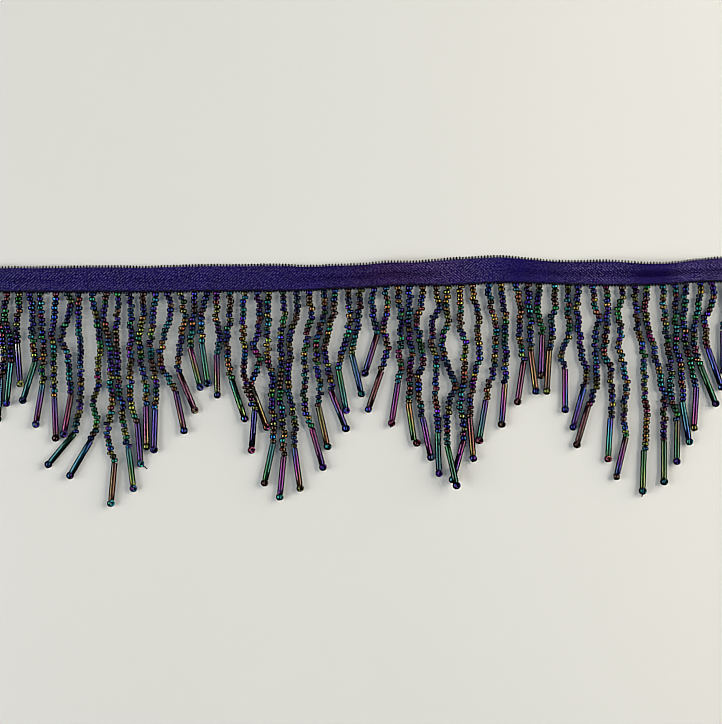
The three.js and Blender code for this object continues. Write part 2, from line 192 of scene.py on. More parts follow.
# One row for each strand, in millimetres: where its root is along the ribbon, how far its seed beads hang
# below the sewn edge, how far the bugle's foot leans sideways, and how far the strand strays from its root
# at each level, the last where the seed beads end. tints are the bugle's colours at its top and its foot,
# kinks are (drop, stray) at sharp bends, over is (drop, height) where it climbs over another strand, and
# tail is where the thread's end lies past the end bead, as (aside, down) points. end_aside is how far the
# end bead has slipped sideways, and hole_up is how far its hole points up, beside how far it points aside.
Strand = namedtuple(
    "Strand", "root drop lean stray tints kinks over tail end_aside hole_up",
    defaults=((), ((0, 0),), (), 0, 0),
)
STRANDS = (
    Strand(-131, 30.4, -0.8, (0.5, 3, 3.3, 2.2), ("blue", "teal")),
    Strand(-126.5, 24.8, -1.4, (-0.5, 1.2, 1.4), ("teal", "green")),
    Strand(-121.9, 17.9, 1, (-0.5, -0.9), ("silver", "indigo")),
    Strand(-117.9, 24.3, -4, (0.4, 0.6, 1.5), ("green", "teal")),
    Strand(-114.1, 32.4, -2.2, (-0.2, 0.5, 0.5, 0.4), ("teal", "magenta")),
    Strand(-109.1, 37.1, 0.5, (-0.3, -1.2, -0.7, -0.4, -0.4), ("blue", "maroon")),
    Strand(-104.9, 35.9, -2.4, (0.5, -2.1, 0.5, 1.4), ("maroon", "magenta"), kinks=((4.5, 1.4),)),
    Strand(-100.4, 49.9, -8.6, (-0.4, 0, 0.5, 0.1, 0.2, -1.9), ("green", "teal")),
    Strand(-95.9, 52.5, -6.8, (1.1, 2.7, 2.3, 2, 0.5, -0.6), ("blue", "teal"), kinks=((47, 1.6),)),
    Strand(-90.9, 60.5, -1.2, (-0.8, 0.8, 1.5, 1.6, 2, 0.4, 2.9), ("brown", "gold"), kinks=((55, 1.3),)),
    Strand(-86.8, 55.2, 1.7, (-0.2, -0.6, -0.1, 0.2, 1.4, 2.5, 3.7), ("teal", "lime")),
    Strand(
        -82.5, 46.3, 1.1, (0.4, 0.2, 0.2, 0.4, 0.7, 2.6), ("purple", "purple"),
        tail=((0.6, 0.9), (1.5, 1.2), (2.2, 2)),
    ),
    Strand(-77.9, 40.2, 0.3, (0, -1.3, -0.7, 0.8, 1), ("purple", "gold")),
    Strand(-73.4, 41.3, -0.4, (-0.7, -1.5, -1.6, 0.3, -0.1), ("blue", "purple")),
    Strand(-68.7, 34.9, 2.8, (0.5, -1.7, -3, 2.5), ("purple", "copper")),
    Strand(-64.4, 28.4, 5.2, (1.4, 0.3, -0.9, -0.6), ("maroon", "rose")),
    Strand(-59.5, 19.6, 3.3, (-0.4, -1.5), ("magenta", "green")),
    Strand(-54.8, 18, 2, (-2.1, -2.1), ("teal", "green")),
    Strand(-51.2, 22, 0.3, (-0.6, 0.6, -0.4), ("purple", "lime")),
    Strand(-46.5, 31.2, 4.3, (-0.2, -1.4, -1.1, 0.3), ("teal", "lime")),
    Strand(
        -41.6, 41.8, -1.2, (-0.5, -0.4, 0.1, 0.4, 3.8), ("navy", "navy"),
        over=((22, 0), (30, 2.35), (43, 2.35), (56, 0)),
    ),
    Strand(-37.4, 34.5, 4.7, (1.4, 0.1, 1.3, -1.4), ("silver", "gold"), kinks=((19, -0.9), (31, -1.3))),
    Strand(-33.1, 53.8, -2.8, (-0.2, -0.2, 0, 1.6, 1.2, 2.3, 1.7), ("teal", "green")),
    Strand(-28.3, 58.6, -1.3, (1.1, -0.6, -0.3, -0.5, -0.3, 0.5, 0.7), ("magenta", "purple")),
    Strand(-23.1, 55.6, 1.9, (0, -2.1, -2.2, -2.8, -1.8, -0.7, -0.7), ("blue", "gold")),
    Strand(-18.4, 48.7, 3.7, (0.6, -0.9, -1.6, -1.5, -1.9, 0.8), ("magenta", "purple")),
    Strand(-13.1, 41.3, 3, (0, -2.2, -2.9, -1.5, -2.1), ("olive", "gold")),
    Strand(-9.2, 35.8, 5, (-0.5, -3, -3.4, -1.6), ("magenta", "teal"), kinks=((32, -1.4),)),
    Strand(-4.7, 28.6, 2.5, (0.6, 0, -2.3, -3.3), ("green", "teal")),
    Strand(-0.2, 23, 3.2, (-0.4, -1.6, -3.1), ("teal", "blue")),
    Strand(4.5, 16.5, -4, (-0.5, 1.3), ("maroon", "indigo")),
    Strand(8.8, 29.6, -4.3, (0.4, -0.6, 0.1, -1.5), ("maroon", "brown"), kinks=((20.5, 0.8),)),
    Strand(
        13.4, 34.3, -2.1, (0.5, 1, 0.4, -0.2), ("purple", "magenta"), kinks=((29, 1.1),),
        tail=((-0.4, 1), (-0.3, 1.7)),
    ),
    Strand(17.4, 41.6, 2, (-0.1, -0.3, 0.7, 0.1, -0.5), ("gold", "green"), end_aside=0.9),
    Strand(
        21.8, 46.7, 2.7, (-0.5, -1.2, -0.1, -1.5, -0.9, 0.2), ("blue", "magenta"),
        kinks=((12.5, -2), (28, 0)),
    ),
    Strand(
        26.5, 52.1, 0.5, (1.4, -0.9, 0, 0.5, 0.3, 0.8), ("green", "teal"),
        kinks=((11.8, -1.1), (20, -1.4)),
    ),
    Strand(
        31, 56.6, 3, (-0.4, -1, -1.4, 1.6, 1, -0.3, -0.3), ("green", "green"),
        kinks=((12.5, 0.4), (19.5, -2.2), (36.8, 2.6)), over=((44, 0), (56.6, 1.8), (72, 3.2)),
    ),
    Strand(
        35.4, 55.2, -3.7, (0, 0.3, 1.6, 1.4, 0.4, 1, 1.3), ("magenta", "blue"),
        kinks=((20.5, 1.9), (44, 0.1)),
    ),
    Strand(40, 47.2, 1.1, (1.5, 1.8, 2.3, 0.9, -0.9, -1.1), ("maroon", "gold"), kinks=((4, 0.1),)),
    Strand(45.4, 41.2, -2.2, (1.1, 2.7, 2.2, 1.7, -0.8), ("purple", "green"), kinks=((36, 0),)),
    Strand(49.9, 35.6, -1.1, (1, 1.6, 1.8, 1.5), ("gold", "blue"), kinks=((11, 1.9),)),
    Strand(55, 27.6, -2, (1.9, 1.4, 3.1), ("maroon", "rose")),
    Strand(59.4, 23.7, 1.7, (0.5, 1.2, 1.2), ("copper", "gold")),
    Strand(63.8, 17.8, -0.5, (-1.1, 1), ("maroon", "purple"), kinks=((12.8, 0.4),)),
    Strand(68.8, 23.4, -0.8, (0.7, -0.2, -1.6), ("gold", "brown"), kinks=((11, -0.5),)),
    Strand(73.8, 29.7, 0, (0.2, 0.6, -2.2, -0.9), ("maroon", "blue"), kinks=((19, 0), (26.5, -2.3))),
    Strand(77.8, 36.3, -3.6, (-0.7, 0, 1.1, 2.8, 1.8), ("blue", "purple")),
    Strand(
        82.6, 42.6, -3.8, (0.8, 1.2, 1.3, 1.8, -1.4), ("maroon", "brown"),
        kinks=((12, 2.4), (38, 0.6)),
    ),
    Strand(
        87.4, 47, -0.8, (0.5, 0.1, -0.5, 1.6, 2.6, 1.7), ("blue", "green"),
        kinks=((25.5, -0.6), (28.5, 1.8)), hole_up=1.8,
    ),
    Strand(
        93, 53.7, -3.1, (-1.1, -0.2, -0.3, 1.4, 1, 1, 1.6), ("brown", "blue"),
        kinks=((4.5, 0.3), (21.5, -1), (36, 1.9)),
    ),
    Strand(
        97.5, 58.5, -0.4, (0.9, 1.3, 3.4, 3.8, 4, 4.6, 3.5), ("green", "lime"), kinks=((54, 4.3),),
        tail=((0.2, 1), (-0.1, 2.2)),
    ),
    Strand(102.5, 55.4, 0, (-1.1, 0.4, 2.4, 4.2, 5.8, 5.7, 5.7), ("green", "olive")),
    Strand(107.8, 48.5, -0.2, (0.4, 1.1, 2.1, 3, 3, 5.2), ("brown", "green"), kinks=((44.5, 4.6),)),
    Strand(112.2, 41.8, 2.3, (0, 0.2, 0.8, 2.3, 2.5), ("teal", "blue"), kinks=((4, 0.4),)),
    Strand(115.9, 37, -0.8, (-0.4, -0.4, 0.8, 3.9), ("purple", "magenta")),
    Strand(121.2, 29.5, 5, (-0.5, -2.4, -1.7, 0), ("green", "green")),
    Strand(125.4, 23.4, 4.4, (0, -2.6, -1.5), ("blue", "navy"), kinks=((5, 0.6), (12, -2.5))),
    Strand(130.2, 17, 0.2, (0.3, -0.9), ("purple", "blue")),
)

# The colours of the beads' metallic coats
COATS = {
    "navy": (0.01, 0.024, 0.22),
    "blue": (0.012, 0.06, 0.42),
    "indigo": (0.035, 0.012, 0.24),
    "teal": (0.015, 0.2, 0.24),
    "green": (0.015, 0.2, 0.07),
    "olive": (0.18, 0.18, 0.04),
    "lime": (0.26, 0.34, 0.06),
    "gold": (0.38, 0.22, 0.05),
    "copper": (0.27, 0.09, 0.045),
    "brown": (0.12, 0.06, 0.045),
    "maroon": (0.17, 0.025, 0.06),
    "magenta": (0.26, 0.015, 0.15),
    "purple": (0.085, 0.012, 0.2),
    "rose": (0.36, 0.1, 0.2),
    "silver": (0.3, 0.3, 0.27),
}

# How often each colour comes among the seed beads
SEED_MIX = (
    ("navy", 42), ("blue", 9), ("indigo", 3), ("teal", 16), ("green", 9), ("olive", 13), ("gold", 10),
    ("copper", 6), ("brown", 15), ("maroon", 6), ("purple", 2), ("magenta", 1), ("lime", 3),
)
END_BEAD_MIX = (("navy", 8), ("brown", 4), ("maroon", 2), ("indigo", 2), ("teal", 3), ("olive", 1))

# One bead set in its place: its middle, the way its hole points, its size beside the model's, its colours
Bead = namedtuple("Bead", "place hole_way width length tint foot_tint strand")


def length_of(label, note, value):
    """A size that a user can change, in metres."""
    return bpy.props.FloatProperty(
        name=label, description=note, default=value, min=0.0, precision=5, unit="LENGTH", subtype="DISTANCE"
    )


def colour_of(label, note, value):
    """A colour that a user can change."""
    return bpy.props.FloatVectorProperty(
        name=label, description=note, default=value, size=3, min=0.0, max=1.0, subtype="COLOR"
    )


class FringeSizes(bpy.types.PropertyGroup):
    """Real sizes of the cloth, the beads and the thread"""

    cloth_thickness: length_of("Cloth thickness", "Thickness of the satin ribbon", 0.5 * MM)
    picot_size: length_of("Picot size", "Size of one loop of the woven edge", 0.6 * MM)
    seed_diameter: length_of("Seed bead", "Outer diameter of a seed bead", 2.5 * MM)
    seed_length: length_of("Seed bead length", "Length of a seed bead along its hole", 1.5 * MM)
    seed_hole: length_of("Seed bead hole", "Diameter of a seed bead's hole", 0.8 * MM)
    bugle_diameter: length_of("Bugle bead", "Outer diameter of a bugle bead", 2.15 * MM)
    bugle_hole: length_of("Bugle bead hole", "Diameter of a bugle bead's hole", 0.8 * MM)
    end_diameter: length_of("End bead", "Outer diameter of the bead at a strand's foot", 2.65 * MM)
    thread_diameter: length_of("Thread", "Diameter of the beading thread", 0.34 * MM)
    stitch_diameter: length_of("Stitch", "Diameter of the thread in the stitches at each root", 0.3 * MM)


class FringeColours(bpy.types.PropertyGroup):
    """Colours of the satin, the thread and the beads' metallic coats"""

    satin: colour_of("Satin", "Body colour of the ribbon", (0.0055, 0.0022, 0.072))
    # Painted sheen: the twill lines' lighter colour stands for glints of light on the satin's floats
    twill: colour_of("Twill lines", "Colour of the fine diagonal lines in the satin", (0.15, 0.13, 0.27))
    thread: colour_of("Thread", "Colour of the beading thread and the woven edges", (0.004, 0.003, 0.01))


for coat, shade in COATS.items():
    FringeColours.__annotations__[coat] = colour_of(f"{coat.capitalize()} coat", "Bead coat", shade)


class FringeStage(bpy.types.PropertyGroup):
    """The table, the lights and the camera"""

    table: colour_of("Table", "Colour of the table top", (0.82, 0.79, 0.72))
    view_height: length_of("View height", "Height of the strip of table that the camera sees", 258.57 * MM)
    view_middle: bpy.props.FloatProperty(
        name="View middle", description="Where the middle of the view lies along Y",
        default=-27.9 * MM, precision=5, unit="LENGTH", subtype="DISTANCE",
    )
    lens: bpy.props.FloatProperty(name="Lens", description="Focal length", default=85.0, unit="CAMERA")
    right_power: bpy.props.FloatProperty(
        name="Right light", description="Power of the warmer light on the right", default=12.9, unit="POWER"
    )
    left_power: bpy.props.FloatProperty(
        name="Left light", description="Power of the broad light on the left", default=9.4, unit="POWER"
    )
    pane_power: bpy.props.FloatProperty(
        name="Pane power", description="Power of the mirrored panes for each square metre",
        default=80.0, min=0.0,
    )
    sharpness: bpy.props.FloatProperty(
        name="Sharpness", description="How strongly the finished picture is sharpened", default=0.13, min=0.0
    )


LieRow = namedtuple("LieRow", "x sewn free lift")
LIE = [LieRow(*(MM * value for value in row)) for row in RIBBON_LIE]


def smooth_run(start, end, slope_in, slope_out, t):
    """A smooth run from start to end, t of the way along, with these slopes at its two ends."""
    rise = end - start
    return (
        start + slope_in * t + (3 * rise - 2 * slope_in - slope_out) * t**2
        + (slope_in + slope_out - 2 * rise) * t**3
    )


def lie_at(column, x):
    """A column of the ribbon's table at x, on a smooth curve through its rows."""
    last = len(LIE) - 1
    i = 0
    while i < last - 1 and x > LIE[i + 1].x:
        i += 1
    before, start, end, after = (LIE[min(max(k, 0), last)] for k in range(i - 1, i + 3))
    v0, v1, v2, v3 = (getattr(row, column) for row in (before, start, end, after))
    span = end.x - start.x
    t = min(max((x - start.x) / span, 0.0), 1.0)
    slope_in = (v2 - v0) / (end.x - before.x) * span
    slope_out = (v3 - v1) / (after.x - start.x) * span
    return smooth_run(v1, v2, slope_in, slope_out, t)


def ribbon_point(x, across):
    """A point on the ribbon's underside: across is the distance over the cloth from its sewn edge."""
    sewn, free, lift = (lie_at(column, x) for column in ("sewn", "free", "lift"))
    if across <= SEWN_MARGIN:
        return Vector((x, sewn + across, 0.0))
    reach = free - sewn - SEWN_MARGIN
    chord = math.hypot(reach, lift)
    spare = max(CLOTH_WIDTH - SEWN_MARGIN - chord, 0.0)
    swell = math.sqrt(SWELL_SHARE * chord * spare)
    t = (across - SEWN_MARGIN) / (CLOTH_WIDTH - SEWN_MARGIN)
    eased = t * t * (3 - 2 * t)
    height = lift * eased + swell * (1 - math.cos(2 * math.pi * t)) / 2
    return Vector((x, sewn + SEWN_MARGIN + reach * t, height))


def crease_depth(point):
    """How far the creases press the cloth down at a point."""
    depth = 0.0
    for row in CREASES:
        from_x, from_y, to_x, to_y, deepest, width = (MM * value for value in row)
        start = Vector((from_x, from_y))
        along = Vector((to_x, to_y)) - start
        t = min(max((point.xy - start).dot(along) / along.length_squared, 0.0), 1.0)
        away = (point.xy - start - along * t).length
        depth += deepest * math.exp(-((away / width) ** 2))
    return depth


def curve_through(corners):
    """Points a small step apart on a centripetal Catmull-Rom curve through the corners."""
    corners = [np.array(corner) for corner in corners]
    ends = [2 * corners[0] - corners[1], *corners, 2 * corners[-1] - corners[-2]]
    fine = []
    for p0, p1, p2, p3 in zip(ends, ends[1:], ends[2:], ends[3:]):
        d0, d1, d2 = (math.sqrt(np.linalg.norm(b - a)) for a, b in ((p0, p1), (p1, p2), (p2, p3)))
        slope_in = ((p1 - p0) / d0 - (p2 - p0) / (d0 + d1) + (p2 - p1) / d1) * d1
        slope_out = ((p2 - p1) / d1 - (p3 - p1) / (d1 + d2) + (p3 - p2) / d2) * d1
        steps = max(int(np.linalg.norm(p2 - p1) / LINE_STEP), 2)
        fine.extend(smooth_run(p1, p2, slope_in, slope_out, t) for t in np.arange(steps) / steps)
    return np.array([*fine, corners[-1]])


class StrandLine:
    """The line that one strand follows over the table, from just inside the ribbon's edge."""

    def __init__(self, row):
        stops = [(LEVEL_STEP * (i + 1), MM * aside) for i, aside in enumerate(row.stray[:-1])]
        stops.append((MM * row.drop, MM * row.stray[-1]))
        stops.append((-ROOT_DEPTH, 0.0))
        stops.extend((MM * down, MM * aside) for down, aside in row.kinks)
        corners = []
        for down, aside in sorted(stops):
            x = MM * row.root + aside
            corners.append((x, lie_at("sewn", x) - down))
        self.points = curve_through(corners)
        steps = np.linalg.norm(np.diff(self.points, axis=0), axis=1)
        self.along = np.concatenate(([0.0], np.cumsum(steps)))
        self.length = self.along[-1]
        self.drops = [MM * down for down, _ in row.over]
        self.heights = [MM * height for _, height in row.over]
        lean = MM * row.lean
        self.fall = Vector((lean, -math.sqrt(BUGLE_FOOT**2 - lean**2))).normalized()
        self.drop = MM * row.drop

    def seed_point(self, along):
        """Where the table's point under the strand is, and how high the strand lies there."""
        x, y = (float(np.interp(along, self.along, self.points[:, k])) for k in (0, 1))
        return Vector((x, y, self.climb(lie_at("sewn", x) - y)))

    def bugle_point(self, along):
        """The same for a distance past the last seed bead."""
        end = Vector(self.points[-1])
        flat = end + self.fall * along
        return Vector((flat.x, flat.y, self.climb(self.drop - self.fall.y * along)))

    def climb(self, down):
        """The strand's height where it lies over another strand or on the ribbon's sewn edge."""
        over_edge = float(np.interp(down, EDGE_SLOPE, (EDGE_RISE, 0.0)))
        return float(np.interp(down, self.drops, self.heights)) + over_edge


LINES = [StrandLine(row) for row in STRANDS]


def pick(mix, rng):
    """A colour's name, drawn from a mix."""
    return rng.choices([name for name, _ in mix], [share for _, share in mix])[0]


def strung_seeds(index, sizes):
    """The seed beads of one strand, packed along its line with the uneven sizes and stagger of real ones."""
    rng = random.Random(1000 + index)
    line = LINES[index]
    count = round((line.length - FIRST_BEAD) / sizes.seed_length)
    shares = [rng.uniform(*SEED_LENGTHS) for _ in range(count)]
    stretch = (line.length - FIRST_BEAD) / sum(shares)
    beads = []
    tint = pick(SEED_MIX, rng)
    along = FIRST_BEAD
    for k, share in enumerate(shares):
        room = share * stretch
        middle = line.seed_point(along + room / 2)
        ahead = line.seed_point(along + room / 2 + LINE_STEP)
        behind = line.seed_point(along + room / 2 - LINE_STEP)
        way = (ahead - behind).normalized()
        side = Vector((-way.y, way.x, 0.0))
        width = rng.uniform(*SEED_WIDTHS)
        middle += side * rng.uniform(-SEED_STAGGER, SEED_STAGGER)
        middle.z += width * sizes.seed_diameter / 2
        way = way + side * rng.uniform(-SEED_TILT, SEED_TILT)
        way.z += rng.uniform(-SEED_RISE, SEED_RISE)
        if rng.random() > SAME_TINT:
            tint = pick(SEED_MIX, rng)
        length = SEED_ROOM * room / sizes.seed_length
        beads.append(Bead(middle, way, width, length, tint, tint, index))
        along += room
    return beads


def eased_apart(beads, sizes):
    """Beads of different strands that would share room are moved apart over the table."""
    places = np.array([bead.place for bead in beads])
    radii = np.array([bead.width for bead in beads]) * sizes.seed_diameter / 2
    strands = np.array([bead.strand for bead in beads])
    rods = [
        (line.bugle_point(along) + Vector((0, 0, sizes.bugle_diameter / 2)), index)
        for index, line in enumerate(LINES)
        for along in np.arange(BUGLE_START, BUGLE_FOOT, LINE_STEP)
    ]
    rod_places = np.array([place for place, _ in rods])
    rod_strands = np.array([index for _, index in rods])
    rod_radii = np.full(len(rods), sizes.bugle_diameter / 2)
    moves = np.zeros_like(places)
    for _ in range(EASING_ROUNDS):
        for k in range(len(beads)):
            gaps = places[k] - np.concatenate((places, rod_places))
            apart = np.linalg.norm(gaps, axis=1)
            rooms = np.concatenate((radii, rod_radii)) + radii[k]
            others = np.concatenate((strands, rod_strands)) != strands[k]
            for j in np.flatnonzero(others & (apart < rooms)):
                flat = gaps[j][:2] / max(np.linalg.norm(gaps[j][:2]), 1e-9)
                moves[k][:2] += flat * (rooms[j] - apart[j]) * 0.5
        places += moves
        moves[:] = 0
    return [bead._replace(place=Vector(place)) for bead, place in zip(beads, places)]


def hung_bugles(sizes):
    """One bugle bead at the foot of each strand."""
    beads = []
    for index, (row, line) in enumerate(zip(STRANDS, LINES)):
        lift = Vector((0, 0, sizes.bugle_diameter / 2))
        top = line.bugle_point(BUGLE_START) + lift
        foot = line.bugle_point(BUGLE_FOOT) + lift
        beads.append(Bead((top + foot) / 2, foot - top, 1, 1, row.tints[0], row.tints[1], index))
    return beads


def hung_end_beads(sizes):
    """The bead that stops each strand, with its hole across the strand."""
    rng = random.Random(77)
    beads = []
    for index, (row, line) in enumerate(zip(STRANDS, LINES)):
        place = line.bugle_point(END_BEAD_PLACE)
        side = Vector((-line.fall.y, line.fall.x, 0.0))
        down = Vector((line.fall.x, line.fall.y, 0.0))
        place += side * MM * row.end_aside
        way = side + down * rng.uniform(-END_TILT, END_TILT)
        way.z += row.hole_up + rng.uniform(*END_RISES)
        way.normalize()
        width = rng.uniform(*END_WIDTHS)
        tint = pick(END_BEAD_MIX, rng)
        length = rng.uniform(*END_LENGTHS)
        level = way.xy.length
        ring = width * (sizes.end_diameter + sizes.seed_hole) / 4
        wall = width * (sizes.end_diameter - sizes.seed_hole) / 4
        half_length = length * END_LENGTH * sizes.seed_length / 2
        place.z += ring * level + math.hypot(wall * level, half_length * way.z)
        beads.append(Bead(place, way, width, length, tint, tint, index))
    return beads


def deselect():
    bpy.ops.object.select_all(action="DESELECT")


def named(name):
    """Names the piece that was just added."""
    piece = bpy.context.active_object
    piece.name = name
    piece.data.name = name
    return piece


def spun_bead(name, diameter, hole, length, sides):
    """A bead, modelled once: a rounded wall section spun about its hole, which points along Z."""
    deselect()
    corners, around = sides
    flat_side_out = math.pi / corners
    bpy.ops.mesh.primitive_circle_add(
        vertices=corners, radius=1.0, rotation=(math.pi / 2, math.pi / 2 + flat_side_out, 0)
    )
    bead = named(name)
    bpy.ops.object.transform_apply(location=False, rotation=True, scale=False)
    section = np.array([vertex.co for vertex in bead.data.vertices])
    low, high = section.min(axis=0), section.max(axis=0)
    wall = (diameter - hole) / 2
    scale_x = wall / (high[0] - low[0])
    scale_z = length / (high[2] - low[2])
    bpy.ops.object.mode_set(mode="EDIT")
    bpy.ops.mesh.select_all(action="SELECT")
    bpy.ops.transform.resize(value=(scale_x, 1, scale_z), center_override=(0, 0, 0))
    bpy.ops.transform.translate(value=(hole / 2 - low[0] * scale_x, 0, 0))
    spin_closed(around)
    return bead


def spun_tube(name, diameter, hole, length, around):
    """A glass tube, modelled once: a wall section with rounded corners spun about Z."""
    deselect()
    wall = (diameter - hole) / 2
    bpy.ops.mesh.primitive_plane_add(size=1.0, rotation=(math.pi / 2, 0, 0))
    tube = named(name)
    tube.dimensions = (wall, length, 0)
    tube.location.x = (diameter + hole) / 4
    bpy.ops.object.transform_apply(location=True, rotation=True, scale=True)
    bpy.ops.object.mode_set(mode="EDIT")
    bpy.ops.mesh.select_all(action="SELECT")
    bpy.ops.mesh.bevel(offset=0.3 * wall, offset_type="OFFSET", segments=2, affect="VERTICES")
    bpy.ops.mesh.delete(type="ONLY_FACE")
    spin_closed(around)
    return tube


def spin_closed(around):
    """Spins the section in edit mode all the way round Z, closes it and turns its faces out."""
    bpy.ops.mesh.select_all(action="SELECT")
    bpy.ops.mesh.spin(steps=around, angle=2 * math.pi, center=(0, 0, 0), axis=(0, 0, 1))
    bpy.ops.mesh.select_all(action="SELECT")
    bpy.ops.mesh.remove_doubles(threshold=0.01 * MM)
    bpy.ops.mesh.normals_make_consistent(inside=False)
    bpy.ops.object.mode_set(mode="OBJECT")
    bpy.ops.object.shade_smooth()


def note_values(piece, label, kind, values):
    """Writes a value for every point of a piece: kind is FLOAT, FLOAT_VECTOR or FLOAT_COLOR."""
    field = {"FLOAT": "value", "FLOAT_VECTOR": "vector", "FLOAT_COLOR": "color"}[kind]
    piece.data.attributes.new(label, kind, "POINT").data.foreach_set(field, values)


def keep_own_place(model):
    """Writes each point's place in the model as an attribute, for patterns that turn with the bead."""
    places = [value for vertex in model.data.vertices for value in vertex.co]
    note_values(model, "own_place", "FLOAT_VECTOR", places)


class Wiring:
    """The nodes of one material, group or world, with short ways to add them and to join them."""

    def __init__(self, tree):
        self.tree = tree
        self.nodes = tree.nodes
        self.join = tree.links.new

    def feed(self, socket, value):
        """Joins a socket to an input, or sets the input to a value or a colour."""
        if isinstance(value, bpy.types.NodeSocket):
            self.join(value, socket)
        else:
            socket.default_value = (*value, 1.0) if socket.type == "RGBA" else value

    def set(self, node, **inputs):
        """Feeds a node's inputs by their names, with _ for each space."""
        for label, value in inputs.items():
            self.feed(node.inputs[label.replace("_", " ")], value)

    def add(self, kind, **inputs):
        """A new node, fed with these inputs."""
        node = self.nodes.new(kind)
        self.set(node, **inputs)
        return node

    def group(self, tree, **inputs):
        """A node group's outputs, placed here with this material's own values."""
        node = self.nodes.new("ShaderNodeGroup")
        node.node_tree = tree
        self.set(node, **inputs)
        return node.outputs

    def math(self, operation, first, second=None):
        """A sum on one or two values, each a socket or a number."""
        node = self.nodes.new("ShaderNodeMath")
        node.operation = operation
        for socket, value in zip(node.inputs, (first, second)):
            if value is not None:
                self.feed(socket, value)
        return node.outputs[0]

    def noise(self, vector, scale, detail=2.0):
        return self.add("ShaderNodeTexNoise", Vector=vector, Scale=scale, Detail=detail).outputs["Fac"]

    def split(self, vector):
        return self.add("ShaderNodeSeparateXYZ", Vector=vector).outputs

    def attribute(self, name, output):
        node = self.nodes.new("ShaderNodeAttribute")
        node.attribute_name = name
        return node.outputs[output]

    def ramp(self, value, *stops):
        """A colour ramp with (place, grey) stops, or (place, colour) stops."""
        node = self.add("ShaderNodeValToRGB", Fac=value)
        points = node.color_ramp.elements
        while len(points) < len(stops):
            points.new(0.5)
        for point, (place, shade) in zip(points, stops):
            point.position = place
            point.color = (*shade, 1.0) if isinstance(shade, tuple) else (shade, shade, shade, 1.0)
        return node.outputs["Color"]

    def mix(self, share, first, second, blend="MIX"):
        """A colour mix of two sockets or colours by a share."""
        node = self.nodes.new("ShaderNodeMix")
        node.data_type = "RGBA"
        node.blend_type = blend
        self.feed(node.inputs[0], share)
        ends = (socket for socket in node.inputs if socket.type == "RGBA")
        for socket, value in zip(ends, (first, second)):
            self.feed(socket, value)
        return next(socket for socket in node.outputs if socket.type == "RGBA")


def new_group(name, kind, inputs, outputs):
    """A node group with named sockets: its wiring, the inputs it is given and the outputs it makes."""
    tree = bpy.data.node_groups.new(name, kind)
    for way, sockets in (("INPUT", inputs), ("OUTPUT", outputs)):
        for label, socket in sockets.items():
            tree.interface.new_socket(label, in_out=way, socket_type=f"NodeSocket{socket}")
    net = Wiring(tree)
    return net, net.add("NodeGroupInput").outputs, net.add("NodeGroupOutput").inputs


def shared(name, build):
    """The node group of this name, built the first time that it is asked for."""
    return bpy.data.node_groups.get(name) or build(name)


def setting_tree(name):
    """Geometry nodes that set a model on every point, turned and sized by the point's own values."""
    net, given, made = new_group(
        name, "GeometryNodeTree", {"Geometry": "Geometry", "Model": "Object"}, {"Geometry": "Geometry"}
    )
    turn, size = (net.nodes.new("GeometryNodeInputNamedAttribute") for _ in range(2))
    for node, label in ((turn, "turn"), (size, "size")):
        node.data_type = "FLOAT_VECTOR"
        net.set(node, Name=label)
    model = net.add("GeometryNodeObjectInfo", Object=given["Model"])
    euler = net.add("FunctionNodeEulerToRotation", Euler=turn.outputs["Attribute"])
    copies = net.add(
        "GeometryNodeInstanceOnPoints", Points=given["Geometry"], Instance=model.outputs["Geometry"],
        Rotation=euler.outputs["Rotation"], Scale=size.outputs["Attribute"],
    )
    real = net.add("GeometryNodeRealizeInstances", Geometry=copies.outputs["Instances"])
    net.join(real.outputs["Geometry"], made["Geometry"])
    return net.tree


def thread_tree(name):
    """Geometry nodes that turn a line of edges into a round thread."""
    net, given, made = new_group(
        name, "GeometryNodeTree", {"Geometry": "Geometry", "Radius": "Float"}, {"Geometry": "Geometry"}
    )
    line = net.add("GeometryNodeMeshToCurve", Mesh=given["Geometry"])
    ring = net.add("GeometryNodeCurvePrimitiveCircle", Resolution=THREAD_SIDES, Radius=given["Radius"])
    tube = net.add(
        "GeometryNodeCurveToMesh", Curve=line.outputs["Curve"], Profile_Curve=ring.outputs["Curve"],
        Fill_Caps=True,
    )
    smooth = net.add("GeometryNodeSetShadeSmooth", Geometry=tube.outputs["Mesh"])
    net.join(smooth.outputs["Geometry"], made["Geometry"])
    return net.tree


def point_piece(name, points, edges=()):
    """A new piece of bare points, or of points joined by edges."""
    mesh = bpy.data.meshes.new(name)
    mesh.from_pydata(points, edges, [])
    piece = bpy.data.objects.new(name, mesh)
    bpy.context.collection.objects.link(piece)
    return piece


def apply_nodes(piece, tree, **values):
    """Runs a node group on a piece and keeps what it makes."""
    deselect()
    piece.select_set(True)
    bpy.context.view_layer.objects.active = piece
    modifier = piece.modifiers.new(tree.name, "NODES")
    modifier.node_group = tree
    for item in tree.interface.items_tree:
        if item.in_out == "INPUT" and item.name in values:
            modifier[item.identifier] = values[item.name]
    bpy.ops.object.modifier_apply(modifier=modifier.name)


def between_hues(first, second):
    """The colour half way between two, on the shorter way round the hues."""
    (hue, depth, value), (other_hue, other_depth, other_value) = (
        colorsys.rgb_to_hsv(*colour) for colour in (first, second)
    )
    turn = (other_hue - hue + 0.5) % 1.0 - 0.5
    if min(depth, other_depth) < GREY_DEPTH:
        hue, turn = (hue, 0.0) if depth > other_depth else (other_hue, 0.0)
    return colorsys.hsv_to_rgb((hue + turn / 2) % 1.0, max(depth, other_depth), (value + other_value) / 2)


def set_copies(piece, turns, sizes, model):
    """Sets a copy of the model on every point of a piece and joins them all."""
    note_values(piece, "turn", "FLOAT_VECTOR", turns)
    note_values(piece, "size", "FLOAT_VECTOR", sizes)
    apply_nodes(piece, shared("Set on points", setting_tree), Model=model)
    for label in ("turn", "size"):
        piece.data.attributes.remove(piece.data.attributes[label])


